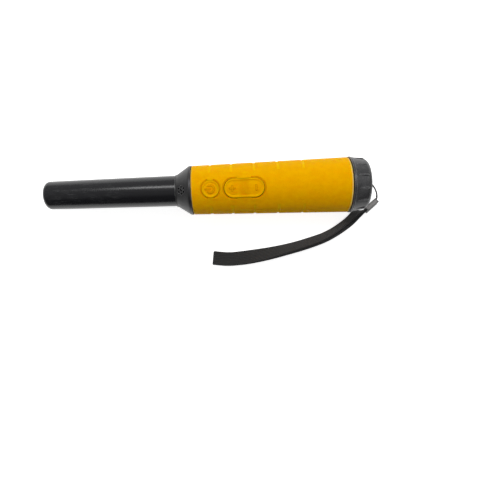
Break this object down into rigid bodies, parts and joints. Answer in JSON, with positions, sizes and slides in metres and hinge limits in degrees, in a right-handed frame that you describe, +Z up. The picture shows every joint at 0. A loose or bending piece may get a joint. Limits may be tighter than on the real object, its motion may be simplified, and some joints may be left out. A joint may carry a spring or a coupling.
{
  "type": "metal-detecting pinpointer",
  "caption": "Hand-held metal-detecting pinpointer: tapered probe with a search coil, rubber grip with a power key and a rocker, screw cap over the battery, and a webbing wrist strap.",
  "frame": {"origin": "on the surface that it lies on, under the middle of the body's length, cord and strap left out", "axes": "+X along the body from the probe tip to the screw cap, +Z up with the keys on top"},
  "size_m": [0.2657, 0.0864, 0.0438],
  "materials": {
    "black_gloss": "glossy moulded plastic with light scuffs",
    "dark_matte": "fine moulded texture",
    "yellow_rubber": "soft matt rubber, slightly mottled",
    "frame_plastic": "plain moulded plastic",
    "cord_black": "twisted polyester cord",
    "webbing": "ribbed woven webbing",
    "crimp_grey": "worn grey-brown moulding",
    "seal_rubber": "smooth black rubber",
    "battery_case": "printed steel jacket, left plain",
    "contact_metal": "nickel plate",
    "steel": "plain steel",
    "foam": "closed-cell foam",
    "lead_red": "wire insulation",
    "lead_black": "wire insulation",
    "board": "green solder mask",
    "chip_black": "moulded epoxy",
    "part_metal": "aluminium can",
    "brass_disc": "brass",
    "lens": "clear polished lens",
    "lamp_body": "clear epoxy over a pale chip",
    "ferrite": "sintered ferrite",
    "copper": "enamelled copper wire",
    "cable": "screened cable jacket"
  },
  "bodies": {
    "housing": {"probe_shell": "black_gloss", "nose_cone": "dark_matte", "grip_sleeve": "yellow_rubber", "handle_tube": "frame_plastic", "o_ring": "seal_rubber", "battery": "battery_case", "battery_terminals": "contact_metal", "snap_plate": "frame_plastic", "snap_contacts": "contact_metal", "lead_positive": "lead_red", "lead_negative": "lead_black", "chassis": "frame_plastic", "chassis_screws": "steel", "board_screws": "steel", "main_board": "board", "controller_chip": "chip_black", "board_parts": "part_metal", "coil_header": "chip_black", "tact_switches": "chip_black", "vibration_motor": "steel", "motor_clip": "steel", "clip_screws": "steel", "sounder": "brass_disc", "sounder_membrane": "seal_rubber", "lamp_lens": "lens", "lamp_led": "lamp_body", "ferrite_rod": "ferrite", "coil_former": "frame_plastic", "drive_winding": "copper", "sense_winding": "copper", "coil_cable": "cable"},
    "cap_carrier": {"battery_pad": "foam"},
    "cap": {"end_cap": "dark_matte", "lanyard_cord": "cord_black", "lanyard_crimp": "crimp_grey", "wrist_strap": "webbing"},
    "power_key": {"power_button": "yellow_rubber"},
    "rocker": {"sensitivity_rocker": "yellow_rubber"},
    "motor_weight": {"eccentric_weight": "steel"}
  },
  "joints": [
    {"name": "cap_draw", "type": "slide", "parent": "housing", "child": "cap_carrier", "axis": [1, 0, 0], "range_m": [0, 0.006]},
    {"name": "cap_turn", "type": "hinge", "parent": "cap_carrier", "child": "cap", "pos_m": [0.118, 0, 0.0219], "axis": [1, 0, 0], "range_deg": [0, 720]},
    {"name": "power_press", "type": "slide", "parent": "housing", "child": "power_key", "axis": [0, 0, -1], "range_m": [0, 0.0008], "stiffness_N_per_m": 300, "springref_m": -0.0005},
    {"name": "rocker_tilt", "type": "hinge", "parent": "housing", "child": "rocker", "pos_m": [0.02805, 0, 0.0355], "axis": [0, 1, 0], "range_deg": [-2.5, 2.5], "stiffness_Nm_per_rad": 0.4},
    {"name": "motor_spin", "type": "hinge", "parent": "housing", "child": "motor_weight", "pos_m": [0.02725, 0, 0.0169], "axis": [1, 0, 0], "continuous": true}
  ],
  "couplings": [
    {"joint": "cap_draw", "follows": "cap_turn", "m_per_rad": 0.00047746}
  ]
}
